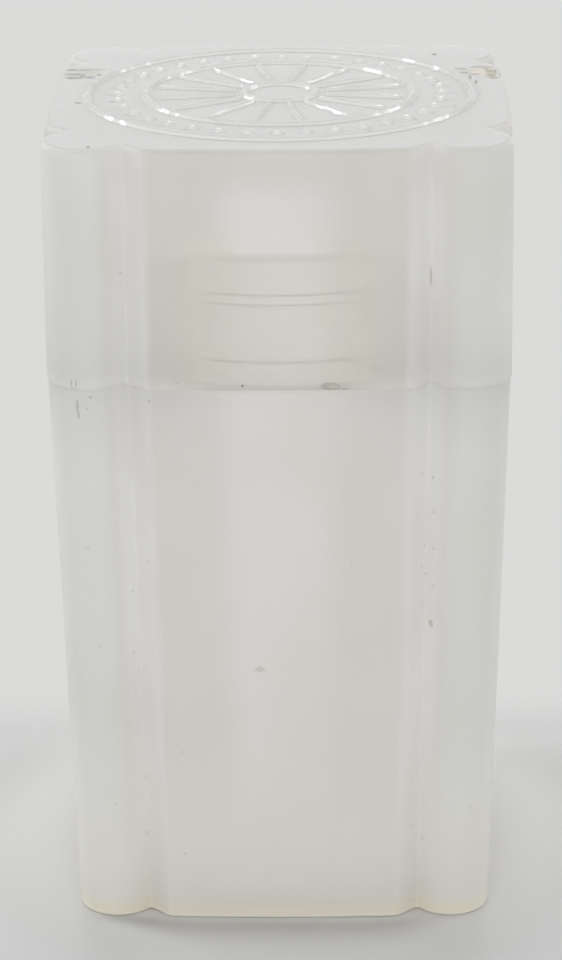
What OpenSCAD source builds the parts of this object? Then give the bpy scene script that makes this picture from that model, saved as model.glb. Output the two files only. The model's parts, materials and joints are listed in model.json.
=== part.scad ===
// Square coin tube with a deep push-on lid, moulded in milky plastic.
// Millimetres. +Z is up, and the origin is the middle of the base, on the surface it stands on.
// The tube body carries the round coin well, the neck and the shoulder. The lid slides over the
// neck and rests on the shoulder.

/* [Coins] */
// Diameter of the coins that the tube holds
coin_d = 39; // [30:0.5:44]
// Thickness of one coin
coin_t = 3; // [2.2:0.1:4]
// Number of coins in a full tube
coin_count = 25; // [20:1:32]
// Free space round a coin, on the diameter
coin_play = 0.4; // [0.2:0.1:1]
// Empty height left above a full stack
headroom = 2.6; // [1.6:0.2:6]

/* [Tube body] */
// Thickness of the tube's floor
floor_t = 2; // [1.6:0.1:4]
// Thickness of the wall at the base, leaving out the bulge of the sides
base_wall = 1.53; // [1.3:0.01:2.4]
// Radius between the floor and the wall of the coin well
well_fillet = 1; // [0.4:0.1:2]
// Bevel on the lower outer edge
base_bevel = 0.4; // [0.2:0.1:0.8]
// Depth of the round recess under the floor
recess_depth = 0.4; // [0.2:0.1:0.6]
// Width of the flat rim that the tube stands on, outside the recess
foot_w = 2.6; // [1.8:0.1:4]
// Radius of the moulding mark in the middle of the recess
gate_r = 1.3; // [0.8:0.1:2]
// Height of the moulding mark
gate_h = 0.2; // [0.1:0.05:0.3]

/* [Neck] */
// Height of the neck above the shoulder
neck_h = 12.4; // [10:0.2:16]
// Thickness of the neck's wall between its rings
neck_wall = 1.2; // [1:0.05:2]
// How far the bead and the collar stand out from the neck
ring_h = 0.3; // [0.15:0.05:0.5]
// Height of the collar at the foot of the neck
collar_h = 2.2; // [1:0.1:3]
// Height of the bead's middle above the shoulder
bead_z = 8.35; // [6:0.05:8.6]
// Height of the bead
bead_w = 1.1; // [0.8:0.1:2]
// Bevel on both edges of the neck's rim
rim_bevel = 0.4; // [0.2:0.1:0.5]

/* [Lid] */
// Height of the lid
lid_h = 23.6; // [20:0.2:28]
// Thickness of the lid's top
lid_top_t = 2; // [1.6:0.1:3]
// Thickness of the lid's wall at its rim, leaving out the bulge of the sides
lid_wall = 1.43; // [1.3:0.01:2.4]
// Gap between the lid and the neck's rings
lid_gap = 0.05; // [0.03:0.01:0.15]
// How much narrower the lid is at its top than at its rim, on each side
lid_draft = 0.18; // [0.1:0.01:0.4]
// How far the lid's rim stands out past the shoulder, on each side
lid_overhang = 0.12; // [0.05:0.01:0.3]
// Bevel on the lid's upper outer edge
lid_bevel = 0.6; // [0.3:0.05:0.9]
// Radius inside the lid, between its top and its wall
lid_fillet = 1.2; // [0.5:0.1:2]
// Bevel inside the lid's mouth
mouth_bevel = 0.4; // [0.2:0.1:0.6]

/* [Corner columns] */
// Radius of the columns at the lid's rim
column_r = 4.35; // [3.8:0.05:4.8]
// Depth of the groove on each side of a column
groove_depth = 1.9; // [1:0.1:2.2]
// How far the middle of a side stands out past its ends
side_bulge = 0.45; // [0.1:0.05:0.6]
// Wall left round the hollow core of a column
core_wall = 1.4; // [1.2:0.05:2]
// Solid height left above a core
core_roof = 2.4; // [1.6:0.1:4]

/* [Lid ornament] */
// Height of the ornament above the lid's top
relief_h = 0.35; // [0.15:0.05:0.5]
// Radius of the outer ring, at its middle
outer_ring_r = 19.3; // [17:0.1:19.8]
// Radius of the inner ring, at its middle
inner_ring_r = 13.4; // [11:0.1:14.5]
// Width of a ring at its foot
ring_w = 0.9; // [0.6:0.1:1.4]
// Width of a ring at its crest
ring_crest_w = 0.4; // [0.2:0.05:0.6]
// Number of beads between the rings
bead_count = 36; // [18:1:48]
// Radius that rounds a bead
bead_r = 0.8; // [0.5:0.05:1]
// Number of rays inside the inner ring
ray_count = 16; // [8:1:24]
// Width of a ray
ray_w = 0.7; // [0.4:0.1:1]
// Radius of the ring in the middle
hub_ring_r = 3.6; // [3:0.1:5]
// Gap between a ray and the rings at its ends
ray_gap = 0.9; // [0.5:0.1:1.5]

/* [Hidden] */
$fn = 96;
// Facets of the wide circles that bow the four sides
side_fn = 1440;
// One overrun for every cut and every joint between solids
over = 0.5;
// Steps in a quarter circle of a turned profile
arc_steps = 6;

// Radii, from the coin outwards
well_r = (coin_d + coin_play) / 2;
neck_r = well_r + neck_wall;
ring_r = neck_r + ring_h;
lid_bore_r = ring_r + lid_gap;
// Half widths across the columns
lid_rim_a = lid_bore_r + lid_wall;
lid_top_a = lid_rim_a - lid_draft;
shoulder_a = lid_rim_a - lid_overhang;
base_a = well_r + base_wall;
// Heights
total_h = floor_t + coin_count * coin_t + headroom + lid_top_t;
shoulder_z = total_h - lid_h;
neck_top_z = shoulder_z + neck_h;
lid_roof_z = total_h - lid_top_t;
// The columns at the lid's rim, and the groove where a column meets the 45 degree end of a side
column_c = lid_rim_a - column_r;
groove_x = column_c - sqrt(pow(column_r, 2) - pow(column_r - groove_depth, 2));
groove_d = (groove_x + lid_rim_a - groove_depth) / sqrt(2);
side_r = (pow(groove_x, 2) + pow(side_bulge, 2)) / (2 * side_bulge);
reach = 2 * lid_rim_a;
base_scale = base_a / lid_rim_a;
lid_scale = lid_top_a / lid_rim_a;
body_core_r = column_r * base_scale - core_wall;
body_core_c = column_c * base_scale;
lid_core_r = column_r * lid_scale - core_wall;
lid_core_c = column_c * lid_scale;
recess_r = base_a - foot_w - side_bulge;
bead_ring_r = (outer_ring_r + inner_ring_r) / 2;
ray_start = hub_ring_r + ray_gap;
ray_end = inner_ring_r - ray_gap;

// The outline at one height, as [half width across the columns, middle of a column, radius of a
// column, distance of a side's 45 degree end from the axis]. All of it follows the half width.
function section(a) =
    let (k = a / lid_rim_a)
    [a, column_c * k, column_r * k, groove_d * k];

// The same outline, drawn in by e on every side
function drawn_in(s, e) = [s[0] - e, s[1], s[2] - e, s[3] - e];

module slab(z0, z1) {
    translate([-reach, -reach, z0]) cube([2 * reach, 2 * reach, z1 - z0]);
}

// One bowed side: a wide cone whose flank is the side, from outline s0 at z0 to outline s1 at z1
module bowed_side(z0, z1, s0, s1) {
    slope = (s1[0] - s0[0]) / (z1 - z0);
    translate([0, side_r - side_bulge - s0[0], z0 - over])
        cylinder(r1 = side_r - slope * over, r2 = side_r + slope * (z1 - z0 + over),
                 h = z1 - z0 + 2 * over, $fn = side_fn);
}

// What lies past the 45 degree ends at one corner, as a tilted block
module past_side_ends(z0, z1, s0, s1) {
    tilt = atan((s1[3] - s0[3]) / (z1 - z0));
    translate([s0[3], 0, z0])
        rotate([0, tilt, 0])
            translate([0, -reach, -reach / 2])
                cube([reach, 2 * reach, reach + (z1 - z0) / cos(tilt)]);
}

// One corner column: a cone whose axis leans with the draft
module column(z0, z1, s0, s1) {
    lean = sqrt(2) * (s1[1] - s0[1]);
    tilt = atan(lean / (z1 - z0));
    length = norm([lean, z1 - z0]);
    slope = (s1[2] - s0[2]) / length;
    translate([s0[1] * sqrt(2), 0, z0])
        rotate([0, tilt, 0])
            translate([0, 0, -over])
                cylinder(r1 = s0[2] - slope * over, r2 = s1[2] + slope * over,
                         h = length + 2 * over);
}

// The square with its columns, from outline s0 at z0 to outline s1 at z1
module columned_square(z0, z1, s0, s1) {
    intersection() {
        slab(z0, z1);
        union() {
            difference() {
                intersection() {
                    bowed_side(z0, z1, s0, s1);
                    rotate(90) bowed_side(z0, z1, s0, s1);
                    rotate(180) bowed_side(z0, z1, s0, s1);
                    rotate(270) bowed_side(z0, z1, s0, s1);
                }
                at_corners() past_side_ends(z0, z1, s0, s1);
            }
            at_corners() column(z0, z1, s0, s1);
        }
    }
}

// What a 45 degree bevel takes off the outline s where it ends at height z. up is 1 for an upper
// edge and -1 for a lower one.
module edge_bevel(s, z, bevel, up) {
    translate([0, 0, z])
        mirror([0, 0, up > 0 ? 0 : 1])
            difference() {
                slab(-1.5 * bevel, over);
                columned_square(-2 * bevel, 2 * over,
                                drawn_in(s, -bevel), drawn_in(s, bevel + 2 * over));
            }
}

// Children are placed on +X, which is turned to each corner's diagonal
module at_corners() {
    for (q = [0 : 3]) rotate(45 + 90 * q) children();
}

// A quarter circle in a profile, from angle a0 to a1
function arc(cx, cz, r, a0, a1) =
    [for (i = [0 : arc_steps])
        let (a = a0 + (a1 - a0) * i / arc_steps)
        [cx + r * cos(a), cz + r * sin(a)]];

module coin_well() {
    rotate_extrude()
        polygon(concat(
            [[0, floor_t]],
            arc(well_r - well_fillet, floor_t + well_fillet, well_fillet, -90, 0),
            [[well_r, neck_top_z - rim_bevel],
             [well_r + rim_bevel, neck_top_z],
             [well_r + rim_bevel, neck_top_z + over],
             [0, neck_top_z + over]]));
}

module neck() {
    rotate_extrude()
        polygon([
            [0, shoulder_z - over],
            [ring_r, shoulder_z - over],
            [ring_r, shoulder_z + collar_h - ring_h],
            [neck_r, shoulder_z + collar_h],
            [neck_r, shoulder_z + bead_z - bead_w / 2],
            [ring_r, shoulder_z + bead_z - bead_w / 2 + ring_h],
            [ring_r, shoulder_z + bead_z + bead_w / 2 - ring_h],
            [neck_r, shoulder_z + bead_z + bead_w / 2],
            [neck_r, neck_top_z - rim_bevel],
            [neck_r - rim_bevel, neck_top_z],
            [0, neck_top_z]]);
}

module tube_body() {
    base = section(base_a);
    color([0.80, 0.79, 0.77])
    difference() {
        union() {
            columned_square(0, shoulder_z, base, section(shoulder_a));
            neck();
        }
        edge_bevel(base, 0, base_bevel, -1);
        coin_well();
        at_corners()
            translate([body_core_c * sqrt(2), 0, -over])
                cylinder(r = body_core_r, h = shoulder_z - core_roof + over);
        difference() {
            translate([0, 0, -over]) cylinder(r = recess_r, h = recess_depth + over);
            translate([0, 0, recess_depth - gate_h]) cylinder(r = gate_r, h = gate_h + over);
        }
    }
}

module lid_bore() {
    rotate_extrude()
        polygon(concat(
            [[0, shoulder_z - over],
             [lid_bore_r + mouth_bevel, shoulder_z - over],
             [lid_bore_r + mouth_bevel, shoulder_z],
             [lid_bore_r, shoulder_z + mouth_bevel]],
            arc(lid_bore_r - lid_fillet, lid_roof_z - lid_fillet, lid_fillet, 0, 90),
            [[0, lid_roof_z]]));
}

// A raised ring with sloping sides and a flat crest
module relief_ring(r) {
    rotate_extrude()
        polygon([
            [r - ring_w / 2, total_h - over],
            [r + ring_w / 2, total_h - over],
            [r + ring_w / 2, total_h],
            [r + ring_crest_w / 2, total_h + relief_h],
            [r - ring_crest_w / 2, total_h + relief_h],
            [r - ring_w / 2, total_h]]);
}

module relief_beads() {
    for (i = [0 : bead_count - 1])
        rotate(360 * i / bead_count)
            translate([bead_ring_r, 0, total_h + relief_h - bead_r])
                sphere(r = bead_r, $fn = 32);
}

module relief_rays() {
    for (i = [0 : ray_count - 1])
        rotate(360 * (i + 0.5) / ray_count)
            translate([ray_start, -ray_w / 2, total_h - over])
                cube([ray_end - ray_start, ray_w, relief_h + over]);
}

module push_on_lid() {
    top = section(lid_top_a);
    color([0.84, 0.84, 0.83])
    difference() {
        union() {
            difference() {
                columned_square(shoulder_z, total_h, section(lid_rim_a), top);
                edge_bevel(top, total_h, lid_bevel, 1);
            }
            relief_ring(outer_ring_r);
            relief_ring(inner_ring_r);
            relief_ring(hub_ring_r);
            relief_beads();
            relief_rays();
        }
        lid_bore();
        at_corners()
            translate([lid_core_c * sqrt(2), 0, shoulder_z - over])
                cylinder(r = lid_core_r, h = lid_h - core_roof + over);
    }
}

tube_body();
push_on_lid();
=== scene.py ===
# The looks of a square coin tube with a push-on lid: two mouldings in milky, slightly see-through
# plastic. Sizes are in millimetres until a mesh or a lamp is placed, and the scene is in metres.
import json
import math

import bmesh
import bpy
import numpy as np
from mathutils import Matrix, Vector


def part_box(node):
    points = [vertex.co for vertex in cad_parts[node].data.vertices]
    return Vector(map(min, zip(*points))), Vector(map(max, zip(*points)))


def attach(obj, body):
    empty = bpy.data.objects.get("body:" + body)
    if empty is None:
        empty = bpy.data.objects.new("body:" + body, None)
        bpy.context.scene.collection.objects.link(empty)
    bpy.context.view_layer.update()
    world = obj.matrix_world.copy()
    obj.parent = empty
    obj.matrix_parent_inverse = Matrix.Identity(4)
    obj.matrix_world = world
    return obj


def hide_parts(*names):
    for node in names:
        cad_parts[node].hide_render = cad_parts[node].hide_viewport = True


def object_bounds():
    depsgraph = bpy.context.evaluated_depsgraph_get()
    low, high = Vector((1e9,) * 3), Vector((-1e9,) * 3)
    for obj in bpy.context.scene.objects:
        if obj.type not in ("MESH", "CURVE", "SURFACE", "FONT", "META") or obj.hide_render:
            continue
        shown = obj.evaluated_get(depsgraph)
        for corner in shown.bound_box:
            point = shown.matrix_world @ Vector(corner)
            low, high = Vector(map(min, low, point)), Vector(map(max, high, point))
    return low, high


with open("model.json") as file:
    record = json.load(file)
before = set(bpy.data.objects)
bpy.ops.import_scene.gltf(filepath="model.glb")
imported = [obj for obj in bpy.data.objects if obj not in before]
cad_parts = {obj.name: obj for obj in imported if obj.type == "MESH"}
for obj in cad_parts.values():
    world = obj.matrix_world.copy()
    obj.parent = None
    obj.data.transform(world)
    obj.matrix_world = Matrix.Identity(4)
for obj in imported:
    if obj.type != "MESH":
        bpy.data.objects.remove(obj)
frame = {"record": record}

cad_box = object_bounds()
MM = 0.001

# Sizes that the frame gives
body_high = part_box("tube_body")[1]
lid_low, lid_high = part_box("push_on_lid")
well_mount = next(m for m in frame["record"]["mounts"] if m["name"] == "coin_well")
WELL_R = well_mount["dims"]["r_mm"]
SHOULDER_Z = lid_low.z / MM
NECK_TOP_Z = body_high.z / MM
CREST_Z = lid_high.z / MM

# Outline: columns, grooves and bowed sides
SIDE_BULGE = 0.45
COLUMN_R = 4.35
GROOVE_DEPTH = 1.9
EDGE_SOFTNESS = 0.42
SIDE_POINTS = 60
COLUMN_POINTS = 90
OUTLINE_POINTS = 480
DENSE_POINTS = 4096
TURN_SHARE = 1.6
SHARP_ANGLE = math.radians(34)

# Half widths across the columns
LID_DRAFT = 0.18
LID_OVERHANG = 0.12
BASE_WALL = 1.53
RIM_HALF = lid_high.x / MM - SIDE_BULGE
LID_TOP_HALF = RIM_HALF - LID_DRAFT
SHOULDER_HALF = RIM_HALF - LID_OVERHANG
BASE_HALF = WELL_R + BASE_WALL

# Walls, floor and neck
FLOOR_T = 2.0
WELL_FILLET = 1.0
NECK_WALL = 1.2
RING_H = 0.3
COLLAR_H = 2.2
BEAD_Z = 8.35
BEAD_W = 1.1
RIM_BEVEL = 0.4
LID_TOP_T = 2.0
LID_GAP = 0.05
LID_FILLET = 1.2
MOUTH_BEVEL = 0.4
CORE_WALL = 1.4
CORE_ROOF = 2.4
RECESS_DEPTH = 0.4
FOOT_W = 2.6
GATE_R = 1.3
GATE_H = 0.2
NECK_R = WELL_R + NECK_WALL
LID_BORE_R = NECK_R + RING_H + LID_GAP

# Rounded edges. Hold is a narrow flat strip beside each, which keeps the flat faces' shading flat.
BASE_ROUND = 0.4
LID_ROUND = 0.65
RIM_ROUND = LID_OVERHANG
SHOULDER_ROUND = 0.02
EDGE_STEPS = 6
WALL_STEPS = 6
HOLD = 0.12
CIRCLE_POINTS = 192
CORE_POINTS = 40

# Ornament on the lid's top
RELIEF_H = 0.35
OUTER_RING_R = 19.3
INNER_RING_R = 13.4
HUB_RING_R = 3.6
RING_W = 0.9
RING_CREST_W = 0.4
BEAD_COUNT = 36
BEAD_R = 0.8
RAY_COUNT = 16
RAY_W = 0.7
RAY_GAP = 0.9
RAY_SLOPE_W = 0.25
RELIEF_EDGE_R = 20.4
RELIEF_POINTS = 576
ROW_GAP = 0.12
BEAD_ROWS = 11
FILL_ROWS = 25
FIRST_ROW_R = 0.6
TOP_MARGIN = 0.01
LID_TOP_Z = CREST_Z - RELIEF_H

column_c = RIM_HALF - COLUMN_R
groove_x = column_c - math.sqrt(COLUMN_R**2 - (COLUMN_R - GROOVE_DEPTH) ** 2)
groove_d = (groove_x + RIM_HALF - GROOVE_DEPTH) / math.sqrt(2)
side_r = (groove_x**2 + SIDE_BULGE**2) / (2 * SIDE_BULGE)


# Outlines

def arc(centre, radius, start, end, count):
    angles = np.linspace(start, end, count)
    return np.stack([centre[0] + radius * np.cos(angles), centre[1] + radius * np.sin(angles)], 1)


def circle(radius, count=CIRCLE_POINTS, centre=(0, 0)):
    return arc(centre, radius, 0, 2 * math.pi, count + 1)[:-1]


def sharp_outline(half, inset):
    """The square with its columns, half wide across the columns, drawn in by inset on every side."""
    scale = half / RIM_HALF
    middle = column_c * scale
    radius = COLUMN_R * scale - inset
    end_line = (groove_d * scale - inset) * math.sqrt(2)
    bow_y = side_r - SIDE_BULGE - half + inset
    reach = end_line + bow_y
    side_x = (reach - math.sqrt(2 * side_r**2 - reach**2)) / 2
    bow = math.asin(side_x / side_r)
    side = arc((0, bow_y), side_r, -math.pi / 2 - bow, -math.pi / 2 + bow, SIDE_POINTS)
    inward = (2 * middle - end_line) / math.sqrt(2)
    spread = math.pi - math.acos(inward / radius)
    column = arc((middle, -middle), radius, -math.pi / 4 - spread, -math.pi / 4 + spread, COLUMN_POINTS)
    quarter = np.concatenate([side, column])
    turns = []
    for k in range(4):
        c, s = round(math.cos(k * math.pi / 2)), round(math.sin(k * math.pi / 2))
        turns.append(quarter @ np.array([[c, s], [-s, c]]))
    return np.concatenate(turns)


def along(points, shares):
    """The places at these shares of the way round a closed line."""
    closed = np.concatenate([points, points[:1]])
    way = np.concatenate([[0], np.cumsum(np.hypot(*np.diff(closed, axis=0).T))])
    at = shares * way[-1]
    return np.stack([np.interp(at, way, closed[:, 0]), np.interp(at, way, closed[:, 1])], 1)


def soft_outline(half, inset):
    """The outline with its corners and cusps rounded, as dense even points."""
    even = along(sharp_outline(half, inset), np.arange(DENSE_POINTS) / DENSE_POINTS)
    length = np.hypot(*(np.roll(even, -1, 0) - even).T).sum()
    waves = np.fft.fftfreq(DENSE_POINTS, length / DENSE_POINTS)
    blur = np.exp(-2 * (math.pi * waves * EDGE_SOFTNESS) ** 2)[:, None]
    return np.fft.ifft(np.fft.fft(even, axis=0) * blur, axis=0).real


def kept_shares(points):
    """Where along the outline its points are kept: closer together where it turns."""
    step = np.roll(points, -1, 0) - points
    length = np.hypot(*step.T)
    heading = np.unwrap(np.arctan2(step[:, 1], step[:, 0]))
    turn = np.abs(heading - np.roll(heading, 1))
    turn[0] = 0
    weight = np.cumsum(length / length.sum() + TURN_SHARE * turn / turn.sum())
    wanted = np.arange(OUTLINE_POINTS) / OUTLINE_POINTS * weight[-1]
    return np.interp(wanted, weight, np.arange(len(points)) / len(points))


outline_shares = kept_shares(soft_outline(RIM_HALF, 0))


def outline(half, inset=0):
    """The kept points of the outline, the same count and places for every level of a wall."""
    return along(soft_outline(half, inset), outline_shares)


# Meshes

class Skin:
    """A closed mesh made of rings of points and the walls and caps between them."""

    def __init__(self):
        self.mesh = bmesh.new()

    def ring(self, points, z):
        return [self.mesh.verts.new((x * MM, y * MM, z * MM)) for x, y in points]

    def walls(self, rings):
        for low, high in zip(rings, rings[1:]):
            for i in range(len(low)):
                self.mesh.faces.new((low[i - 1], low[i], high[i], high[i - 1]))

    def cap(self, *rings):
        edges = []
        for ring in rings:
            for i in range(len(ring)):
                pair = (ring[i - 1], ring[i])
                edges.append(self.mesh.edges.get(pair) or self.mesh.edges.new(pair))
        bmesh.ops.triangle_fill(self.mesh, edges=edges, use_beauty=True)

    def fan(self, ring, z):
        middle = self.mesh.verts.new((0, 0, z * MM))
        for i in range(len(ring)):
            self.mesh.faces.new((ring[i - 1], ring[i], middle))

    def lathe(self, profile):
        """Rings for a profile of (radius, height) points, joined by walls."""
        rings = [self.ring(circle(r), z) for r, z in profile]
        self.walls(rings)
        return rings

    def outside(self, levels):
        rings = [self.ring(outline(half, inset), z) for half, inset, z in levels]
        self.walls(rings)
        return rings

    def core(self, centre, radius, mouth_z, end_z):
        """A round core hole with a flat end. Its mouth is returned for the cap that it opens in."""
        rings = [self.ring(circle(radius, CORE_POINTS, centre), z) for z in (mouth_z, end_z)]
        self.walls(rings)
        self.cap(rings[1])
        return rings[0]

    def piece(self, name):
        bmesh.ops.recalc_face_normals(self.mesh, faces=self.mesh.faces)
        mesh = bpy.data.meshes.new(name)
        self.mesh.to_mesh(mesh)
        self.mesh.free()
        mesh.shade_smooth()
        mesh.set_sharp_from_angle(angle=SHARP_ANGLE)
        thing = bpy.data.objects.new(name, mesh)
        bpy.context.scene.collection.objects.link(thing)
        return thing


def round_edge(place, step, upright_first=True):
    """Points of a rounded edge. Place is its sharp corner, and step is its size each way from there."""
    angles = np.linspace(0, math.pi / 2, EDGE_STEPS + 1)
    shares = [(1 - math.cos(a), 1 - math.sin(a)) for a in angles]
    if not upright_first:
        shares = [(flat, upright) for upright, flat in shares]
    return [(place[0] + step[0] * a, place[1] + step[1] * b) for a, b in shares]


def wall_levels(z0, half0, z1, half1, low_round, high_round):
    """(half width, inset, height) of each level of an outside wall with rounded edges."""
    slope = (half1 - half0) / (z1 - z0)
    low = round_edge((0, z0), (low_round, low_round), upright_first=False)
    high = round_edge((0, z1), (high_round, -high_round))
    straight = [(0, z) for z in np.linspace(z0 + low_round, z1 - high_round, WALL_STEPS + 1)[1:-1]]
    held = [(low_round + HOLD, z0)] + low + straight + high + [(high_round + HOLD, z1)]
    return [(half0 + slope * (z - z0), inset, z) for inset, z in held]


def core_holes(skin, half, mouth_z, end_z):
    """A core hole in each column of a piece that is half wide across them. Their mouths."""
    scale = half / RIM_HALF
    radius = COLUMN_R * scale - CORE_WALL
    middle = column_c * scale
    places = [(x * middle, y * middle) for x, y in ((1, 1), (-1, 1), (-1, -1), (1, -1))]
    return [skin.core(place, radius, mouth_z, end_z) for place in places]


def ease(t):
    t = min(max(t, 0), 1)
    return t * t * (3 - 2 * t)


def neck_radius(z):
    """The neck's radius at a height over the shoulder, with its collar and its bead."""
    collar = ease((COLLAR_H - z) / RING_H)
    bead = ease((BEAD_W / 2 - abs(z - BEAD_Z)) / RING_H)
    return NECK_R + RING_H * max(collar, bead)


def tube_body():
    skin = Skin()
    levels = wall_levels(0, BASE_HALF, SHOULDER_Z, SHOULDER_HALF, BASE_ROUND, SHOULDER_ROUND)
    sides = skin.outside(levels)
    slopes = [COLLAR_H - RING_H, BEAD_Z - BEAD_W / 2, BEAD_Z + BEAD_W / 2 - RING_H]
    steps = np.concatenate([np.linspace(z, z + RING_H, EDGE_STEPS + 1) for z in slopes])
    heights = np.concatenate([[0], steps, [NECK_TOP_Z - SHOULDER_Z - RIM_BEVEL]])
    profile = [(neck_radius(z), SHOULDER_Z + z) for z in heights]
    profile += round_edge((NECK_R, NECK_TOP_Z), (-RIM_BEVEL, -RIM_BEVEL))[1:]
    profile += round_edge((WELL_R, NECK_TOP_Z), (RIM_BEVEL, -RIM_BEVEL), upright_first=False)
    profile += round_edge((WELL_R, FLOOR_T), (-WELL_FILLET, WELL_FILLET))
    profile.append((WELL_R - WELL_FILLET - HOLD, FLOOR_T))
    neck = skin.lathe(profile)
    skin.cap(sides[-1], neck[0])
    skin.fan(neck[-1], FLOOR_T)
    cores = core_holes(skin, BASE_HALF, 0, SHOULDER_Z - CORE_ROOF)
    recess_r = BASE_HALF - FOOT_W - SIDE_BULGE
    mark_z = RECESS_DEPTH - GATE_H
    recess = skin.lathe([(recess_r, 0), (recess_r, RECESS_DEPTH), (GATE_R, RECESS_DEPTH), (GATE_R, mark_z)])
    skin.cap(sides[0], recess[0], *cores)
    skin.fan(recess[-1], mark_z)
    return skin.piece("coin_tube_body")


def relief_radii():
    """Radii of the rows that carry the ornament, with a row at every edge of its rings."""
    edges = [HUB_RING_R + RAY_GAP, HUB_RING_R + RAY_GAP + RAY_SLOPE_W,
             INNER_RING_R - RAY_GAP, INNER_RING_R - RAY_GAP - RAY_SLOPE_W]
    for ring_r in (OUTER_RING_R, INNER_RING_R, HUB_RING_R):
        for half in (RING_W / 2, RING_CREST_W / 2):
            edges += [ring_r - half, ring_r + half]
    bead_ring_r = (OUTER_RING_R + INNER_RING_R) / 2
    between = np.concatenate([np.linspace(bead_ring_r - BEAD_R, bead_ring_r + BEAD_R, BEAD_ROWS),
                              np.linspace(FIRST_ROW_R, RELIEF_EDGE_R, FILL_ROWS)])
    for r in between[::-1]:
        if min(abs(r - kept) for kept in edges) > ROW_GAP:
            edges.append(r)
    return sorted(edges, reverse=True)


def push_on_lid():
    skin = Skin()
    levels = wall_levels(SHOULDER_Z, RIM_HALF, LID_TOP_Z, LID_TOP_HALF, RIM_ROUND, LID_ROUND)
    sides = skin.outside(levels)
    rows = [skin.ring(circle(r, RELIEF_POINTS), LID_TOP_Z) for r in relief_radii()]
    skin.walls(rows)
    skin.fan(rows[-1], LID_TOP_Z)
    skin.cap(sides[-1], rows[0])
    roof_z = LID_TOP_Z - LID_TOP_T
    profile = [(LID_BORE_R + MOUTH_BEVEL, SHOULDER_Z), (LID_BORE_R, SHOULDER_Z + MOUTH_BEVEL)]
    profile += round_edge((LID_BORE_R, roof_z), (-LID_FILLET, -LID_FILLET))
    profile.append((LID_BORE_R - LID_FILLET - HOLD, roof_z))
    bore = skin.lathe(profile)
    skin.fan(bore[-1], roof_z)
    cores = core_holes(skin, LID_TOP_HALF, SHOULDER_Z, LID_TOP_Z - CORE_ROOF)
    skin.cap(sides[0], bore[0], *cores)
    return skin.piece("coin_tube_lid")


# Node trees

class Value:
    """A number in a node tree. It takes part in sums as a Python number does."""

    def __init__(self, tree, socket):
        self.tree = tree
        self.socket = socket

    def __add__(self, other):
        return self.tree.math("ADD", self, other)

    def __sub__(self, other):
        return self.tree.math("SUBTRACT", self, other)

    def __rsub__(self, other):
        return self.tree.math("SUBTRACT", other, self)

    def __mul__(self, other):
        return self.tree.math("MULTIPLY", self, other)

    def __truediv__(self, other):
        return self.tree.math("DIVIDE", self, other)

    def __pow__(self, other):
        return self.tree.math("POWER", self, other)

    def __abs__(self):
        return self.tree.math("ABSOLUTE", self)

    def __mod__(self, other):
        return self.tree.math("FLOORED_MODULO", self, other)

    __radd__ = __add__
    __rmul__ = __mul__


class Tree:
    """A node tree of a material or of geometry nodes."""

    def __init__(self, tree):
        self.tree = tree

    def node(self, kind, settings=None, values=None):
        """Any node, from its type, its settings and what its sockets hold."""
        node = self.tree.nodes.new(kind)
        for name, value in (settings or {}).items():
            setattr(node, name, value)
        for name, value in (values or {}).items():
            self.feed(node.inputs[name], value)
        return node

    def feed(self, socket, value):
        if isinstance(value, Value):
            self.tree.links.new(value.socket, socket)
        elif isinstance(value, bpy.types.NodeSocket):
            self.tree.links.new(value, socket)
        else:
            socket.default_value = value

    def number(self, kind, settings=None, values=None, output=0):
        return Value(self, self.node(kind, settings, values).outputs[output])

    def math(self, operation, *values):
        return self.number("ShaderNodeMath", {"operation": operation}, dict(enumerate(values)))

    def least(self, a, b):
        return self.math("MINIMUM", a, b)

    def most(self, a, b):
        return self.math("MAXIMUM", a, b)

    def ramp(self, value, low, high):
        """0 below low, 1 above high, eased between. It falls where high is less than low."""
        ends = {"Value": value, "From Min": min(low, high), "From Max": max(low, high)}
        ends["To Min"], ends["To Max"] = (0, 1) if low < high else (1, 0)
        return self.number("ShaderNodeMapRange", {"interpolation_type": "SMOOTHSTEP"}, ends)

    def hill(self, value, middle, half, soft):
        """1 within half of middle, falling to 0 over soft."""
        return self.ramp(abs(value - middle), half + soft, half)

    def parts(self, vector):
        split = self.node("ShaderNodeSeparateXYZ", values={"Vector": vector})
        return [Value(self, out) for out in split.outputs]

    def join(self, x, y, z):
        return self.node("ShaderNodeCombineXYZ", values={"X": x, "Y": y, "Z": z}).outputs[0]

    def seen_directly(self):
        """1 for what the camera sees, straight or by reflection or through clear plastic."""
        ray = self.node("ShaderNodeLightPath")
        kinds = ("Is Camera Ray", "Is Glossy Ray", "Is Transmission Ray")
        camera, glossy, clear = [Value(self, ray.outputs[kind]) for kind in kinds]
        return self.most(camera, self.most(glossy, clear))


# The lid's ornament, raised from its top by geometry nodes

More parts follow.
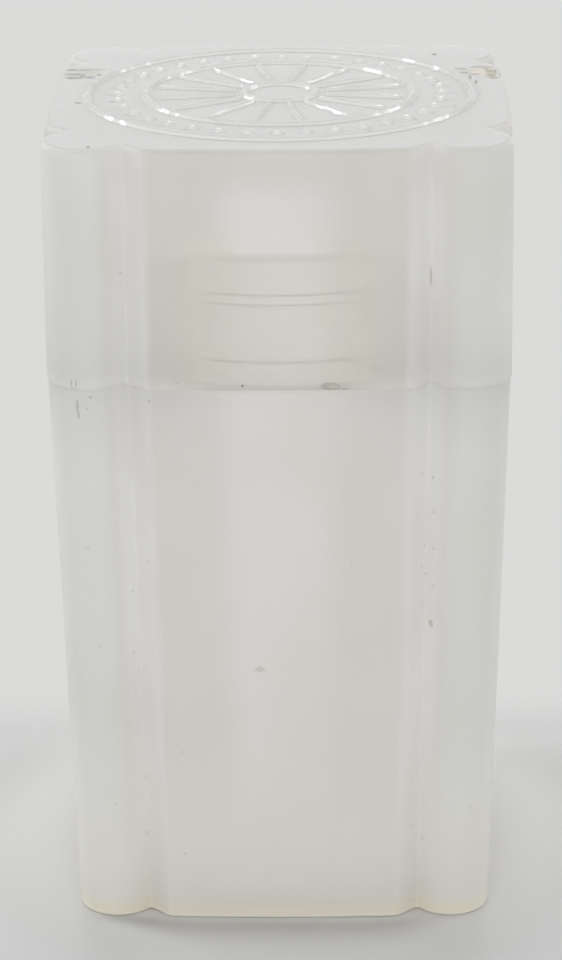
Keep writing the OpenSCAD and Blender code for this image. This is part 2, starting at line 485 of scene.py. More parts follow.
def relief_tree(material):
    """The tree, and what each of its inputs is given."""
    group = bpy.data.node_groups.new("lid_relief", "GeometryNodeTree")
    group.interface.new_socket(name="Geometry", in_out="INPUT", socket_type="NodeSocketGeometry")
    group.interface.new_socket(name="Geometry", in_out="OUTPUT", socket_type="NodeSocketGeometry")
    sizes = {
        "Relief height": RELIEF_H, "Top height": LID_TOP_Z,
        "Outer ring radius": OUTER_RING_R, "Inner ring radius": INNER_RING_R,
        "Hub ring radius": HUB_RING_R, "Ring width": RING_W, "Ring crest width": RING_CREST_W,
        "Bead count": BEAD_COUNT, "Bead radius": BEAD_R,
        "Ray count": RAY_COUNT, "Ray width": RAY_W, "Ray gap": RAY_GAP, "Ray slope width": RAY_SLOPE_W,
    }
    sockets = {}
    for name in sizes:
        sockets[name] = group.interface.new_socket(name=name, in_out="INPUT", socket_type="NodeSocketFloat")
    tree = Tree(group)
    given = tree.node("NodeGroupInput")
    size = {name: Value(tree, given.outputs[name]) for name in sizes}
    place = tree.node("GeometryNodeInputPosition").outputs[0]
    x, y, z = [part * (1 / MM) for part in tree.parts(place)]
    radius = tree.math("SQRT", x * x + y * y)
    angle = tree.math("ARCTAN2", y, x)

    def ring(ring_radius):
        slope = (size["Ring width"] - size["Ring crest width"]) / 2
        inside = (size["Ring width"] / 2 - abs(radius - ring_radius)) / slope
        return tree.least(tree.most(inside, 0), 1)

    def from_nearest(count, shift):
        """Distance along the circle from the nearest of count even places."""
        pitch = tree.math("DIVIDE", 2 * math.pi, count)
        turned = (angle / pitch + (0.5 + shift)) % 1 - 0.5
        return turned * pitch * radius

    sideways = from_nearest(size["Bead count"], 0)
    outwards = radius - (size["Outer ring radius"] + size["Inner ring radius"]) / 2
    under = size["Bead radius"] ** 2 - sideways * sideways - outwards * outwards
    sunk = size["Bead radius"] - size["Relief height"]
    beads = tree.most(tree.math("SQRT", tree.most(under, 0)) - sunk, 0) / size["Relief height"]
    across = abs(from_nearest(size["Ray count"], 0.5))
    start = size["Hub ring radius"] + size["Ray gap"]
    end = size["Inner ring radius"] - size["Ray gap"]
    in_length = tree.least(radius - start, end - radius)
    rays = tree.least(size["Ray width"] / 2 - across, in_length) / size["Ray slope width"]
    rays = tree.least(tree.most(rays, 0), 1)
    height = tree.most(tree.most(ring(size["Outer ring radius"]), ring(size["Inner ring radius"])),
                       tree.most(ring(size["Hub ring radius"]), tree.most(beads, rays)))
    on_top = tree.math("GREATER_THAN", z, size["Top height"] - TOP_MARGIN)
    lift = tree.join(0, 0, height * size["Relief height"] * MM)
    raised = tree.node("GeometryNodeSetPosition", values={
        "Geometry": given.outputs["Geometry"], "Selection": on_top, "Offset": lift})
    made = tree.node("GeometryNodeRealizeInstances", values={"Geometry": raised.outputs[0]})
    dressed = tree.node("GeometryNodeSetMaterial", values={
        "Geometry": made.outputs[0], "Material": material})
    tree.node("NodeGroupOutput", values={"Geometry": dressed.outputs[0]})
    return group, {sockets[name].identifier: value for name, value in sizes.items()}


def grow(thing, group, inputs):
    """Gives the piece a geometry tree's result as its own plain mesh."""
    modifier = thing.modifiers.new(group.name, "NODES")
    modifier.node_group = group
    for identifier, value in inputs.items():
        modifier[identifier] = float(value)
    shown = thing.evaluated_get(bpy.context.evaluated_depsgraph_get())
    mesh = bpy.data.meshes.new_from_object(shown)
    thing.modifiers.clear()
    mesh.set_sharp_from_angle(angle=SHARP_ANGLE)
    thing.data = mesh


# Materials

def linear(*levels):
    """A colour in the units that shaders use, from 8-bit levels as a screen shows them."""
    shares = [level / 255 for level in levels]
    return tuple(s / 12.92 if s <= 0.04045 else ((s + 0.055) / 1.055) ** 2.4 for s in shares) + (1,)


def new_material(name):
    material = bpy.data.materials.new(name)
    material.use_nodes = True
    material.node_tree.nodes.clear()
    return material, Tree(material.node_tree)


def mixed(tree, share, low, high):
    """Two colours mixed by a share from 0 to 1."""
    node = tree.node("ShaderNodeMix", {"data_type": "RGBA"})
    tree.feed(node.inputs["Factor"], share)
    tree.feed(node.inputs[6], low)
    tree.feed(node.inputs[7], high)
    return node.outputs[2]


# How far apart in the noise two seeds lie
SEED_STEP = 17.3


class Places:
    """Where a point of a piece lies, in millimetres, and patterns that are laid over it."""

    def __init__(self, tree):
        self.tree = tree
        place = tree.node("ShaderNodeTexCoord")
        self.point = place.outputs["Object"]
        self.faces_front = tree.ramp(tree.parts(place.outputs["Normal"])[1], *FACING_FRONT)
        self.x, self.y, self.z = [part * (1 / MM) for part in tree.parts(self.point)]
        low_share = BASE_HALF / RIM_HALF
        taper = tree.least(self.z * ((1 - low_share) / SHOULDER_Z) + low_share, 1)
        self.across = tree.least(abs(self.x), abs(self.y)) / taper
        self.flank = tree.ramp(abs(self.x) / taper, *FLANK_X)
        self.radius = tree.math("SQRT", self.x * self.x + self.y * self.y)
        self.front = tree.ramp(self.y, *FRONT_Y)
        self.right = tree.ramp(self.x, *RIGHT_X)
        self.rough_edge = self.cloud(0.35) - 0.5

    def scaled(self, size, stretch, seed=0.0):
        sizes = tuple(1 / (MM * size * share) for share in stretch)
        return self.tree.node("ShaderNodeVectorMath", {"operation": "MULTIPLY_ADD"},
                              {0: self.point, 1: sizes, 2: (seed, seed, seed)}).outputs[0]

    def cloud(self, size, stretch=(1, 1, 1), detail=1.0, seed=0.0):
        """Soft noise about 0.5 in patches of about this size."""
        return self.tree.number("ShaderNodeTexNoise", values={
            "Vector": self.scaled(size, stretch, seed * SEED_STEP), "Scale": 1.0, "Detail": detail})

    def specks(self, cell, radius):
        """Round specks of many sizes up to this radius, one to a cell, and each cell's chance."""
        cells = self.tree.node("ShaderNodeTexVoronoi", values={
            "Vector": self.scaled(cell, (1, 1, 1)), "Scale": 1.0})
        chance, size, other = self.tree.parts(cells.outputs["Color"])
        distance = Value(self.tree, cells.outputs["Distance"]) * cell
        return self.tree.ramp(distance / (0.3 + 0.7 * size), radius, radius * 0.6), chance

    def curls(self, specks):
        """Bits of curled line where the specks are."""
        return specks * self.tree.ramp(abs(self.rough_edge), 0.07, 0.02)

    def below(self, chance, share):
        return self.tree.math("LESS_THAN", chance, share)

    def marks(self, a, b, places, ragged=0.5):
        """Ragged spots at several places, each with its own half sizes."""
        found = 0
        for place, half in places:
            found = self.tree.most(found, self.spot(a, b, place, half, ragged))
        return found

    def spot(self, a, b, place, half, ragged=0.6):
        """A ragged spot about a place, where a and b are two of the coordinates."""
        off_a = (a - place[0]) / half[0]
        off_b = (b - place[1]) / half[1]
        far = off_a * off_a + off_b * off_b + self.rough_edge * (ragged * 4)
        return self.tree.ramp(far, 1.2, 0.6)


def tinted(tree, colour, layers):
    """A colour with each (share, colour) laid over it in turn."""
    for share, over in layers:
        colour = mixed(tree, share, colour, over)
    return colour


# The tones of the milky plastic. The lighter tones where its wall is thin are painted light that comes
# through the wall, and more painted light and painted shade is laid with these tones, as said where it is
# laid.
GLOW_TONE = linear(252, 251, 249)
INSIDE_TONE = linear(250, 250, 248)
FLANK_TONE = linear(232, 230, 227)
STRIPE_TONE = linear(242, 240, 238)
GROOVE_TONE = linear(247, 247, 246)
COLUMN_TONE = linear(235, 236, 234)
EDGE_TONE = linear(248, 249, 248)
WINDOW_TONE = linear(252, 252, 251)
NECK_TONE = linear(241, 239, 236)
NECK_FLANK_TONE = linear(223, 221, 214)
WARM_TONE = linear(241, 236, 217)
BASE_TONE = linear(250, 247, 240)
RIM_TONE = linear(251, 244, 217)
FOOT_TONE = linear(255, 251, 238)
TOP_TONE = linear(201, 201, 202)
TOP_EDGE_TONE = linear(193, 193, 194)
# Dark olive-brown for real dirt, and for the painted shade along the neck's rings
DIRT_AND_SHADE_TONE = linear(140, 132, 104)
SMUDGE_TONE = linear(158, 158, 146)
FOOT_SHADE_TONE = linear(150, 132, 84)
OLIVE_TONE = linear(142, 136, 66)
PEACH_TONE = linear(230, 210, 194)
VEIL_TONE = linear(156, 151, 124)
SOOT_TONE = linear(38, 35, 26)

# Where the tones lie, in mm. Two numbers are a ramp, from its start to where it is full. Three are a
# hill: its middle, its half width and how far its edge is eased. Across is measured along a side from
# its middle, and the columns begin beyond the groove.
FRONT_Y = (-17, -19)
FLANK_X = (21.0, 22.4)
RIGHT_X = (10, 18)
GROOVE_AT = 14.2
GROOVE_ACROSS = (GROOVE_AT, 1.1, 1.2)
GROOVE_DIRT_ACROSS = (GROOVE_AT + 0.2, 0.9, 0.5)
COLUMN_ACROSS = (GROOVE_AT + 1, GROOVE_AT + 3.5)
STRIPE_ACROSS = (7.4, 3.0)
LIP_Z = (SHOULDER_Z, 0.22, 0.15)

# How far a face looks to the front, as a ramp of its direction's y
FACING_FRONT = (-0.1, -0.75)

# On the body. The ring lines are painted shade along the neck's rings, and their heights are over the
# shoulder.
ON_SIDE_R = (WELL_R + 0.2, WELL_R + 0.6)
ON_SIDE_Z = (SHOULDER_Z + 0.05, SHOULDER_Z)
ON_NECK_R = (WELL_R + 0.5, WELL_R + 0.9)
ON_NECK_Z = (SHOULDER_Z, SHOULDER_Z + 0.1)
WAIST_Z = (32, 9, 10)
STRIPE_Z = (6, 18)
LOW_Z = (24, 0.5)
RIM_Z = (2.8, 0.5)
FOOT_Z = (0.8, 0.2)
FOOT_LINE_Z = (0.22, 0.08)
OUTER_FOOT_Z = (2.2, 0.6)
FLOOR_LINE_Z = (FLOOR_T - 0.4, 0.04, 0.16)
FLOOR_LINE_ACROSS = (11, 5)
FLOOR_LINE_BOW = 0.006
UNDER_SEAM_Z = (SHOULDER_Z - 0.6, SHOULDER_Z - 0.15)
UNDER_SEAM_ACROSS = (9, 6)
RING_LINES_Z = (COLLAR_H - 0.1, BEAD_Z - BEAD_W / 2 + 0.05, BEAD_Z + BEAD_W / 2 - 0.05)
RING_LINE_HALF = 0.06
RING_LINE_SOFT = 0.09
NECK_RIM_Z = (NECK_TOP_Z - 0.15, 0.05, 0.14)

# On the lid
TOP_Z = (LID_TOP_Z - 0.12, LID_TOP_Z - 0.02)
TOP_EDGE_R = (12, 21)
SLOPE_Z = (LID_TOP_Z + RELIEF_H / 2, 0.12, 0.04)
RAISED_Z = (LID_TOP_Z + 0.02, LID_TOP_Z + 0.06)
STAINED_Z = (LID_TOP_Z - 0.9, LID_TOP_Z - 0.4)
STIPPLE_R = (16.3, 2.4, 0.5)
INSIDE_R = (LID_BORE_R + 0.4, LID_BORE_R + 0.1)
NEAR_SEAM_Z = (SHOULDER_Z + 2.2, SHOULDER_Z + 0.2)
LOW_EDGE_Z = (SHOULDER_Z + 1.6, SHOULDER_Z + 0.5)
SEAM_Z = (SHOULDER_Z + 0.2, SHOULDER_Z + 0.08)
SEAM_ACROSS = (9, 4)
BESIDE_ACROSS = (10.2, 1.6, 3.2)
WARM_ACROSS = (6.4, 0.8, 3.2)
WARM_Z = (75.5, 70.5)
UPPER_Z = (76, 80)
SHADE_Z = (64, 78)
ABOVE_NECK_Z = (NECK_TOP_Z + 0.4, NECK_TOP_Z + 1.3)
THIN_ACROSS = (0, 4, 7)
THIN_Z = (72.0, 70.9)

# The plastic's own unevenness: the sizes of its clouds and the heights of its bumps in mm, and the
# levels of a cloud at which its patches start and are full
BODY_CLOUD = (9, (1, 1, 2))
LID_CLOUD = (8, (1, 1, 1.6))
BLOTCHES = (0.42, 0.68)
PATCH_SIZE = 2.2
PATCHES = (0.3, 0.6)
POLISHED_PATCHES = (0.42, 0.52)
SCRATCH_SIZE = 0.9
SCRATCH_STRETCH = (1, 1, 26)
SCRATCH_LINE = (0.012, 0.004)
SCRATCH_PLACES = (0.5, 0.6)
SCRATCH_DEPTH = 0.006
WAVE_SIZE = 4.5
WAVE_STRETCH = (1, 1, 2.5)
WAVE_H = 0.02
GRAIN_SIZE = 0.3
GRAIN_H = 0.005
STIPPLE_H = 0.06
SPECK_CELL = 1.0
BODY_SPECK_R = 0.36
LID_SPECK_R = 0.26

# Small marks, each with its place and its half sizes in mm: (x, z) on the front, (x, y) on the top
BODY_SMUDGE = ((-2.1, 28.4), (0.55, 0.3))
BODY_CURL = ((14.9, 32.6), (0.2, 0.45))
LID_DOT = ((-3.45, 58.5), (0.14, 0.15))
LID_SMUDGE = ((5.0, 58.4), (1.0, 0.46))
LID_SMUDGE_GAP = ((5.2, 58.4), (0.5, 0.2))
LID_SMUDGE_TAIL = ((6.3, 58.1), (0.36, 0.16))
LID_FIBRE = ((14.6, 68.7), (0.12, 1.0))
TOP_PEACH = ((20.4, 8.8), (0.8, 1.7))
BODY_MARKS = (((-19.42, 56.2), (0.16, 0.6)), ((-19.33, 55.4), (0.1, 0.5)), ((-18.1, 57.2), (0.18, 0.12)),
              ((-18.45, 56.0), (0.13, 0.1)), ((-12.5, 56.8), (0.08, 0.2)))
LID_MARKS = (((-19.94, 58.5), (0.08, 0.42)), ((-19.45, 58.55), (0.07, 0.38)),
             ((-19.75, 58.05), (0.2, 0.07)), ((-9.7, 58.7), (0.16, 0.07)))
TOP_TICKS = (((16.1, 17.4), (0.3, 0.5)), ((19.9, 4.6), (0.14, 0.9)), ((8.8, -17.0), (0.14, 0.35)),
             ((-17.7, -21.3), (0.2, 0.4)))
TOP_STREAKS = (((-21.7, 11.1), (0.6, 0.5)), ((-20.5, 11.0), (0.9, 0.3)), ((-19.0, 11.1), (1.1, 0.16)),
               ((-21.2, 8.95), (1.1, 0.4)), ((-18.7, 8.6), (0.3, 0.35)), ((-21.3, 7.3), (1.0, 0.5)),
               ((-20.4, 8.1), (0.3, 0.5)), ((-19.6, 7.6), (0.6, 0.4)), ((21.2, 10.5), (0.35, 0.36)),
               ((21.5, 9.3), (0.4, 0.42)), ((22.1, 9.4), (0.14, 0.9)), ((21.9, 6.5), (0.55, 0.4)),
               ((19.4, 6.6), (0.15, 1.0)), ((20.0, 8.1), (0.6, 0.3)),
               ((18.6, 10.6), (0.7, 0.3)), ((18.9, 8.9), (0.5, 0.24)), ((20.6, 11.6), (0.9, 0.24)),
               ((21.6, 7.6), (0.4, 0.5)))
TOP_VEILS = (((-20.8, 9.6), (2.0, 2.8)), ((19.2, 9.2), (1.0, 1.5)), ((21.0, 9.0), (1.7, 2.8)))
TOP_OLIVES = (((21.6, 8.2), (0.6, 2.6)), ((20.9, 11.3), (1.4, 0.6)))

# One mark of the top lies aslant, so its place and half sizes are in (x + y, x - y)
TOP_SLANTED_TICK = ((-23.6, -16.4), (0.3, 0.8))


def milky_plastic(material, tree, colour, roughness, height, through, clear=None, gloss=0):
    """Plastic that scatters light back and, by the share called through, on into the piece. The
    share called clear is seen straight through, and gloss is a smooth coat's share."""
    bump = tree.node("ShaderNodeBump", values={"Strength": 1.0, "Distance": MM, "Height": height})
    skin = tree.node("ShaderNodeBsdfPrincipled", values={
        "Base Color": colour, "Roughness": roughness, "IOR": 1.5, "Normal": bump.outputs[0],
        "Sheen Weight": 1.0, "Sheen Roughness": 0.3, "Coat Weight": gloss, "Coat Roughness": 0.09})
    glow = tree.node("ShaderNodeBsdfTranslucent", values={"Color": GLOW_TONE})
    milk = tree.node("ShaderNodeMixShader", values={0: through, 1: skin.outputs[0], 2: glow.outputs[0]})
    if clear is not None:
        gap = tree.node("ShaderNodeBsdfTransparent", values={"Color": (1, 1, 1, 1)})
        milk = tree.node("ShaderNodeMixShader", values={0: clear, 1: milk.outputs[0], 2: gap.outputs[0]})
    tree.node("ShaderNodeOutputMaterial", values={"Surface": milk.outputs[0]})
    return material


def side_tones(at, tree):
    """Shares of a side's middle stripe, its grooves and its columns."""
    stripe = tree.ramp(at.across, *STRIPE_ACROSS)
    groove = tree.hill(at.across, *GROOVE_ACROSS)
    column = tree.ramp(at.across, *COLUMN_ACROSS)
    return stripe, groove, column


def unevenness(at, tree, size, stretch):
    """Broad and small clouds, and the patches where each is strong."""
    broad = at.cloud(size, stretch)
    patch = at.cloud(PATCH_SIZE, seed=7.0)
    return broad, patch, tree.ramp(broad, *BLOTCHES), tree.ramp(patch, *PATCHES)


def fine_height(at, tree, breaks):
    """Scratches, and the surface's height in mm from moulding waves, fine grain and scratches."""
    streaks = at.cloud(SCRATCH_SIZE, SCRATCH_STRETCH, detail=0.0, seed=1.0)
    line = tree.ramp(abs(streaks - 0.5), *SCRATCH_LINE)
    scratches = line * tree.ramp(breaks, *SCRATCH_PLACES)
    waves = at.cloud(WAVE_SIZE, WAVE_STRETCH) * WAVE_H
    grain = at.cloud(GRAIN_SIZE, detail=0.0, seed=5.0) * GRAIN_H
    return scratches, waves + grain - scratches * SCRATCH_DEPTH


def make_body_plastic():
    material, tree = new_material("body_plastic")
    at = Places(tree)
    stripe, groove, column = side_tones(at, tree)
    on_side = tree.ramp(at.radius, *ON_SIDE_R) * tree.ramp(at.z, *ON_SIDE_Z)
    on_neck = tree.ramp(at.radius, *ON_NECK_R) * tree.ramp(at.z, *ON_NECK_Z)
    outside = tree.most(on_side, on_neck)
    waist_shade = column * tree.hill(at.z, *WAIST_Z) * (0.14 + 0.12 * at.right)
    broad, patch, blotch, patchy = unevenness(at, tree, *BODY_CLOUD)
    scratches, height = fine_height(at, tree, broad)

    low = tree.ramp(at.z, *LOW_Z)
    rim = tree.ramp(at.z, *RIM_Z) * on_side
    foot = tree.ramp(at.z, *FOOT_Z)
    foot_shade = tree.ramp(at.z, *FOOT_LINE_Z) * on_side
    outer_foot = at.flank * tree.ramp(at.z, *OUTER_FOOT_Z) * column * on_side
    floor_line = tree.hill(at.z - at.across * at.across * FLOOR_LINE_BOW, *FLOOR_LINE_Z)
    floor_line = floor_line * tree.ramp(at.across, *FLOOR_LINE_ACROSS) * on_side
    lip = tree.hill(at.z, *LIP_Z) * on_side
    under_seam = tree.ramp(at.z, *UNDER_SEAM_Z) * tree.ramp(at.across, *UNDER_SEAM_ACROSS) * on_side

    # Painted shade: dark lines at the neck's rim and at the edges of its rings, where they meet the lid
    lines = tree.hill(at.z, *NECK_RIM_Z) * 0.4
    for z in RING_LINES_Z:
        lines = tree.most(lines, tree.hill(at.z, SHOULDER_Z + z, RING_LINE_HALF, RING_LINE_SOFT))
    ring_shade = lines * on_neck * (0.45 + 0.35 * patchy)
    dots, chance = at.specks(SPECK_CELL, BODY_SPECK_R)
    in_groove = tree.hill(at.across, *GROOVE_DIRT_ACROSS)
    specks = at.curls(dots) * at.below(chance, 0.012 + 0.3 * in_groove) * on_side
    smudge = at.spot(at.x, at.z, *BODY_SMUDGE, 0.6) * at.front
    curl = at.spot(at.x, at.z, *BODY_CURL, 1.0) * at.front
    corner_dirt = at.marks(at.x, at.z, BODY_MARKS) * at.front

    colour = tinted(tree, INSIDE_TONE, [
        (on_side, FLANK_TONE),
        # Painted light: a lighter stripe up the middle of each side, where light comes through the thin
        # wall
        (stripe * on_side * tree.ramp(at.z, *STRIPE_Z), STRIPE_TONE),
        (column * on_side, COLUMN_TONE),
        # Painted light at the columns' outer sides, lighter towards the outline
        (column * on_side * at.flank * 0.8, EDGE_TONE),
        # Painted shade: the columns darker about mid height, more on the right, away from the left lamps
        (waist_shade * on_side, NECK_FLANK_TONE),
        # Painted light in the grooves, lighter than the flanks where shade would fall
        (groove * on_side, GROOVE_TONE),
        (blotch * 0.25 * outside, NECK_FLANK_TONE),
        # Lighter and a little warmer towards the bottom: the lightening is painted light from the floor,
        # the warmth is the plastic's yellowing
        (low * on_side * (0.9 - 0.45 * column), BASE_TONE),
        (rim * 0.65, RIM_TONE),
        # A painted bright line along the foot, and painted highlights at the columns' outer lower corners
        (foot * on_side * 0.8, FOOT_TONE),
        (outer_foot * 0.7, FOOT_TONE),
        # Painted shade: a dark brown line where the foot meets the floor
        (foot_shade * 0.6, FOOT_SHADE_TONE),
        (floor_line * 0.24, NECK_FLANK_TONE),
        # Painted shade at the seam and just under the lid's rim
        (tree.most(lip * 0.3, under_seam * 0.4), NECK_FLANK_TONE),
        # Painted shade along the neck's rings
        (ring_shade, DIRT_AND_SHADE_TONE),
        (specks * 0.4, DIRT_AND_SHADE_TONE),
        (smudge * 0.45, SMUDGE_TONE),
        (tree.most(curl, corner_dirt) * 0.5, DIRT_AND_SHADE_TONE),
        (scratches * 0.2, STRIPE_TONE),
    ])
    roughness = 0.33 + 0.16 * patch + scratches * 0.08 + low * 0.04
    through = 0.75 - 0.35 * outside - 0.05 * lip - 0.08 * tree.most(rim, outer_foot)
    through = through * (1 - 0.8 * tree.most(ring_shade, specks * 0.5))
    return milky_plastic(material, tree, colour, roughness, height, through)


def make_lid_plastic():
    material, tree = new_material("lid_plastic")
    at = Places(tree)
    stripe, groove, column = side_tones(at, tree)
    top = tree.ramp(at.z, *TOP_Z)
    inside = tree.ramp(at.radius, *INSIDE_R) * (1 - top)
    upper = tree.ramp(at.z, *UPPER_Z) * (1 - column)
    above_neck = tree.ramp(at.z, *ABOVE_NECK_Z)
    right_shade = column * at.right * tree.ramp(at.z, *SHADE_Z)
    beside = tree.hill(at.across, *BESIDE_ACROSS)
    warm = tree.hill(at.across, *WARM_ACROSS) * tree.ramp(at.z, *WARM_Z)
    broad, patch, blotch, patchy = unevenness(at, tree, *LID_CLOUD)
    scratches, height = fine_height(at, tree, broad)

    near_seam = tree.ramp(at.z, *NEAR_SEAM_Z) * (1 - inside)
    lip = tree.hill(at.z, *LIP_Z)
    seam = tree.ramp(at.z, *SEAM_Z) * tree.ramp(at.across, *SEAM_ACROSS) * patchy
    dots, chance = at.specks(SPECK_CELL, LID_SPECK_R)
    low_edge = tree.ramp(at.z, *LOW_EDGE_Z)
    specks = at.curls(dots) * at.below(chance, 0.008 + 0.03 * top + 0.14 * low_edge)
    dot = at.spot(at.x, at.z, *LID_DOT, 0.3) * at.front
    smudge = at.spot(at.x, at.z, *LID_SMUDGE, 0.4) * at.front
    smudge = smudge * (1 - 0.6 * at.spot(at.x, at.z, *LID_SMUDGE_GAP, 0.6))
    smudge = tree.most(smudge, at.spot(at.x, at.z, *LID_SMUDGE_TAIL, 0.6) * at.front)
    fibre = at.spot(at.x, at.z, *LID_FIBRE, 0.4) * at.front
    corner_dirt = at.marks(at.x, at.z, LID_MARKS) * at.front

    slope = tree.hill(at.z, *SLOPE_Z)
    stipple = dots * tree.hill(at.radius, *STIPPLE_R) * top
    slanted_tick = at.spot(at.x + at.y, at.x - at.y, *TOP_SLANTED_TICK, 0.3)
    ticks = tree.most(slanted_tick, at.marks(at.x, at.y, TOP_TICKS, 0.3)) * top
    on_edge = tree.ramp(at.z, *STAINED_Z)
    streaks = at.marks(at.x, at.y, TOP_STREAKS, 0.4) * on_edge
    veil = at.marks(at.x, at.y, TOP_VEILS, 0.5) * on_edge
    olive = at.marks(at.x, at.y, TOP_OLIVES, 0.4) * on_edge
    peach = at.spot(at.x, at.y, *TOP_PEACH, 0.4) * on_edge

    colour = tinted(tree, FLANK_TONE, [
        # Painted light through the thin middle of each side: lightest above the neck, lighter over it, with
        # painted shade beside it where the wall is thicker
        (stripe * above_neck * (0.8 - 0.5 * upper), WINDOW_TONE),
        (stripe * (1 - above_neck), NECK_TONE),
        (beside * (1 - 0.5 * above_neck), NECK_FLANK_TONE),
        (warm * (0.2 + 0.5 * patchy), WARM_TONE),
        (column, COLUMN_TONE),
        # Painted light at the columns' outer sides, lighter towards the outline
        (column * at.flank * 0.8, EDGE_TONE),
        # Painted light in the grooves, lighter than the flanks where shade would fall
        (groove, GROOVE_TONE),
        (inside, INSIDE_TONE),
        (blotch * 0.25, NECK_FLANK_TONE),
        # Painted shade on the upper part of the sides, below the top's edge, except on the columns
        (upper * 0.3, NECK_FLANK_TONE),
        # Painted light near the seam
        (near_seam * 0.4, STRIPE_TONE),
        (right_shade * 0.4, NECK_FLANK_TONE),
        # The top darker towards its edges: painted shade
        (top, mixed(tree, tree.ramp(at.radius, *TOP_EDGE_R), TOP_TONE, TOP_EDGE_TONE)),
        # Painted light on the ornament's slopes, more where they face the front
        (slope * (0.4 + 0.5 * at.faces_front), INSIDE_TONE),
        # Painted shade along the rim at the seam
        (lip * 0.3, NECK_FLANK_TONE),
        (seam * 0.1, DIRT_AND_SHADE_TONE),
        (specks * 0.5, DIRT_AND_SHADE_TONE),
        (smudge * 0.6, SMUDGE_TONE),
        (tree.most(fibre, corner_dirt) * 0.5, DIRT_AND_SHADE_TONE),
        (veil * 0.55, VEIL_TONE),
        (olive * 0.7, OLIVE_TONE),
        (peach * 0.5, PEACH_TONE),
        (streaks * 0.8, SOOT_TONE),
        (tree.most(ticks, dot), SOOT_TONE),
        (scratches * 0.2, STRIPE_TONE),
    ])
    polish = tree.ramp(at.z, *RAISED_Z) * tree.ramp(patch, *POLISHED_PATCHES)
    roughness = 0.42 + 0.12 * patch + scratches * 0.08 - stipple * 0.1
    height = height + stipple * STIPPLE_H
    thin = tree.hill(at.across, *THIN_ACROSS) * (1 - top) * (0.25 + 0.75 * tree.ramp(at.z, *THIN_Z))
    clear = 0.04 + thin * (0.4 + 0.36 * inside)
    through = 0.4 + 0.35 * inside - 0.2 * top - 0.05 * lip - 0.12 * near_seam
    through = through * (1 - 0.8 * tree.most(specks, tree.most(streaks, olive)))
    return milky_plastic(material, tree, colour, roughness, height, through, clear, polish)


# Floor, light and camera

WALL_TONE = linear(219, 219, 218)
NEAR_TONE = linear(218, 218, 218)
FAR_TONE = linear(206, 206, 206)
# Painted light: a lighter floor close about the tube
AROUND_TONE = linear(220, 220, 219)
# The painted shadow's tone in front of the base, and the share it is laid at
CONTACT_SHADOW_TONE = linear(104, 98, 84)
CONTACT_SHADOW_SHARE = 0.34
FLOOR_HALF = 1.5

# Where the floor's tones lie, in mm, as ramps from their start to where they are full. Ahead is measured
# from the front of the base towards the camera. The contact ramps place a painted shadow in front of the
# base, and the ramp about the tube places painted light.
FAR_Y = (-50, 20)
AROUND_R = (36, 25)
WALL_Y = (22, 35)
FADE_R = (110, 320)
CONTACT_AHEAD = (7, -0.5)
CONTACT_START = (-1, 1)
CONTACT_LEFT_X = (-22, -16)
CONTACT_LEFT_SLANT = 1.8
CONTACT_RIGHT_X = (18, 9)
CONTACT_MIDDLE_X = (17, 8)
CONTACT_MIDDLE_GAP = 1.2


def floor_material():
    """Pale paper that turns into the even tone of a wall behind the tube and far out."""
    material, tree = new_material("pale_paper")
    at = Places(tree)
    ahead = -BASE_HALF - at.y
    # A painted shadow on the floor in front of the base, fading ahead and slanting to the right
    middle = tree.ramp(abs(at.x), *CONTACT_MIDDLE_X)
    contact_shadow = tree.ramp(ahead, *CONTACT_AHEAD)
    contact_shadow = contact_shadow * tree.ramp(ahead - middle * CONTACT_MIDDLE_GAP, *CONTACT_START)
    contact_shadow = contact_shadow * tree.ramp(at.x - CONTACT_LEFT_SLANT * ahead, *CONTACT_LEFT_X)
    contact_shadow = contact_shadow * tree.ramp(at.x, *CONTACT_RIGHT_X) * CONTACT_SHADOW_SHARE
    tone = tinted(tree, NEAR_TONE, [
        (tree.ramp(at.y, *FAR_Y), FAR_TONE),
        # Painted light on the floor about the tube
        (tree.ramp(at.radius, *AROUND_R), AROUND_TONE),
        # Painted shadow in front of the base
        (contact_shadow, CONTACT_SHADOW_TONE),
    ])
    table = tree.node("ShaderNodeBsdfPrincipled", values={
        "Base Color": tone, "Roughness": 1.0, "Specular IOR Level": 0.0})
    wall = tree.node("ShaderNodeEmission", values={"Color": WALL_TONE, "Strength": 1.0})
    behind = tree.ramp(at.y, *WALL_Y)
    share = tree.most(behind, tree.ramp(at.radius, *FADE_R)) * tree.seen_directly()
    both = tree.node("ShaderNodeMixShader", values={0: share, 1: table.outputs[0], 2: wall.outputs[0]})
    tree.node("ShaderNodeOutputMaterial", values={"Surface": both.outputs[0]})
    return material


def make_floor():
    mesh = bpy.data.meshes.new("floor")
    corners = [(-FLOOR_HALF, -FLOOR_HALF, 0), (FLOOR_HALF, -FLOOR_HALF, 0),
               (FLOOR_HALF, FLOOR_HALF, 0), (-FLOOR_HALF, FLOOR_HALF, 0)]
    mesh.from_pydata(corners, [], [(0, 1, 2, 3)])
    mesh.materials.append(floor_material())
    floor = bpy.data.objects.new("floor", mesh)
    bpy.context.scene.collection.objects.link(floor)


def make_world(low_level, high_level):
    """Soft light from all round, of one level near the ground and another overhead."""
    world = bpy.data.worlds.new("studio")
    bpy.context.scene.world = world
    world.use_nodes = True
    tree = Tree(world.node_tree)
    world.node_tree.nodes.clear()
    height = tree.parts(tree.node("ShaderNodeTexCoord").outputs["Generated"])[2]
    level = low_level + (high_level - low_level) * tree.most(height, 0)
    light = tree.node("ShaderNodeBackground", values={"Color": (1, 1, 1, 1), "Strength": level})
    back = tree.node("ShaderNodeBackground", values={"Color": WALL_TONE, "Strength": 1.0})
    both = tree.node("ShaderNodeMixShader", values={
        0: tree.seen_directly(), 1: light.outputs[0], 2: back.outputs[0]})
    tree.node("ShaderNodeOutputWorld", values={"Surface": both.outputs[0]})


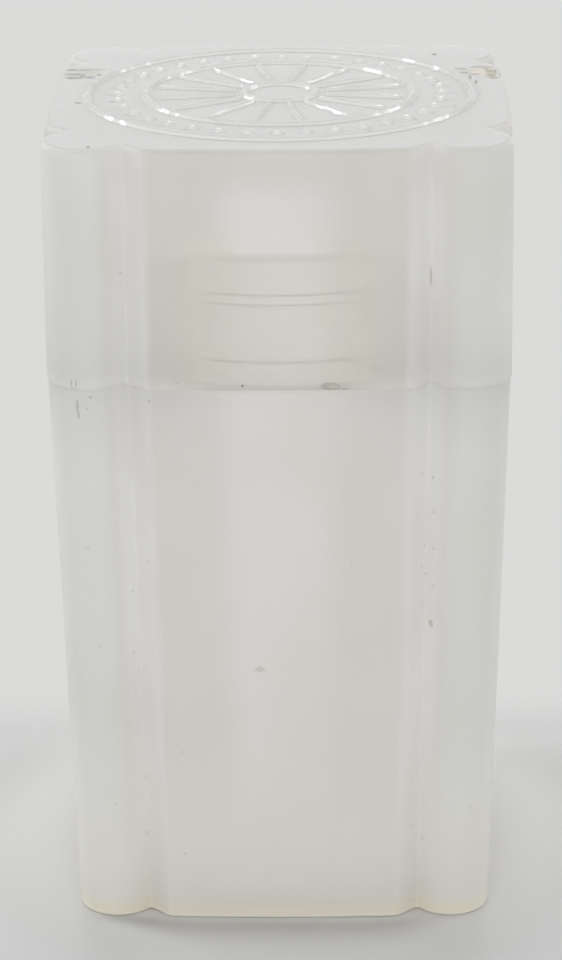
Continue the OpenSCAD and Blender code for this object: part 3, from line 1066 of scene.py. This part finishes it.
def make_lamp(name, azimuth, elevation, distance, size, power):
    """A square soft box that faces the tube. Azimuth is measured in degrees from +X towards +Y,
    distance and size are in metres, and power is in watts."""
    lamp = bpy.data.lights.new(name, "AREA")
    lamp.size = size
    lamp.energy = power
    holder = bpy.data.objects.new(name, lamp)
    a, e = math.radians(azimuth), math.radians(elevation)
    back = Vector((math.cos(a) * math.cos(e), math.sin(a) * math.cos(e), math.sin(e)))
    aim = (cad_box[0] + cad_box[1]) / 2
    facing = back.to_track_quat("Z", "Y").to_matrix().to_4x4()
    holder.matrix_world = Matrix.Translation(aim + back * distance) @ facing
    bpy.context.scene.collection.objects.link(holder)


# Light from all round near the ground and overhead. The side lamps stand in a row on each side, each
# at its own turn from the row's middle and its own height.
LOW_LEVEL = 1.03
HIGH_LEVEL = 0.34
SIDE_LAMPS = ((-10, 27.5), (0, 33), (11, 38.5))
SIDE_DISTANCE = 0.6
SIDE_SIZE = 0.09
LEFT_AZIMUTH = 157
LEFT_POWER = 0.25
RIGHT_AZIMUTH = 23
RIGHT_POWER = 0.14


def make_lights():
    make_world(LOW_LEVEL, HIGH_LEVEL)
    for k, (turn, rise) in enumerate(SIDE_LAMPS, 1):
        make_lamp(f"left_lamp_{k}", LEFT_AZIMUTH + turn, rise, SIDE_DISTANCE, SIDE_SIZE, LEFT_POWER)
        make_lamp(f"right_lamp_{k}", RIGHT_AZIMUTH - turn, rise, SIDE_DISTANCE, SIDE_SIZE, RIGHT_POWER)
    make_lamp("high_lamp", azimuth=90, elevation=36, distance=0.8, size=0.16, power=0.4)
    make_lamp("front_soft_box", azimuth=-90, elevation=10, distance=0.8, size=0.8, power=2.4)
    make_lamp("back_soft_box", azimuth=90, elevation=52, distance=0.8, size=0.4, power=1.65)


# The camera, fitted to the outlines in the photograph. Its distance and aim are in mm.
IMAGE_H = 960
FOCAL_PX = 3020
CAMERA_DISTANCE = 317.6
CAMERA_ELEVATION = math.radians(20.58)
CAMERA_TURN = math.radians(-0.98)
CAMERA_ROLL = math.radians(0.54)
CAMERA_AIM = (-0.23, 0, 40.17)
SENSOR = 36


def make_camera():
    camera = bpy.data.cameras.new("photo_camera")
    camera.sensor_width = SENSOR
    camera.lens = FOCAL_PX * SENSOR / IMAGE_H
    camera.clip_start = 0.01
    camera.clip_end = 10
    holder = bpy.data.objects.new("photo_camera", camera)
    c, s = math.cos(CAMERA_ELEVATION), math.sin(CAMERA_ELEVATION)
    aim = Matrix.Translation([v * MM for v in CAMERA_AIM])
    facing = Matrix(((1, 0, 0, 0), (0, s, -c, 0), (0, c, s, 0), (0, 0, 0, 1)))
    back_off = Matrix.Translation((0, 0, CAMERA_DISTANCE * MM))
    turn = Matrix.Rotation(-CAMERA_TURN, 4, "Z")
    roll = Matrix.Rotation(-CAMERA_ROLL, 4, "Z")
    holder.matrix_world = turn @ aim @ facing @ back_off @ roll
    bpy.context.scene.collection.objects.link(holder)
    bpy.context.scene.camera = holder


# The scene

TRANSPARENT_BOUNCES = 24
DIFFUSE_BOUNCES = 6

body = tube_body()
lid = push_on_lid()
body_plastic = make_body_plastic()
lid_plastic = make_lid_plastic()
body.data.materials.append(body_plastic)
lid.data.materials.append(lid_plastic)
grow(lid, *relief_tree(lid_plastic))
for piece, body_name, node, slot in ((body, "tube", "tube_body", "body_plastic"),
                                     (lid, "lid", "push_on_lid", "lid_plastic")):
    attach(piece, body_name)
    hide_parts(node)

make_floor()
make_lights()
make_camera()
scene = bpy.context.scene
scene.view_settings.view_transform = "Standard"
scene.cycles.transparent_max_bounces = TRANSPARENT_BOUNCES
scene.cycles.diffuse_bounces = DIFFUSE_BOUNCES
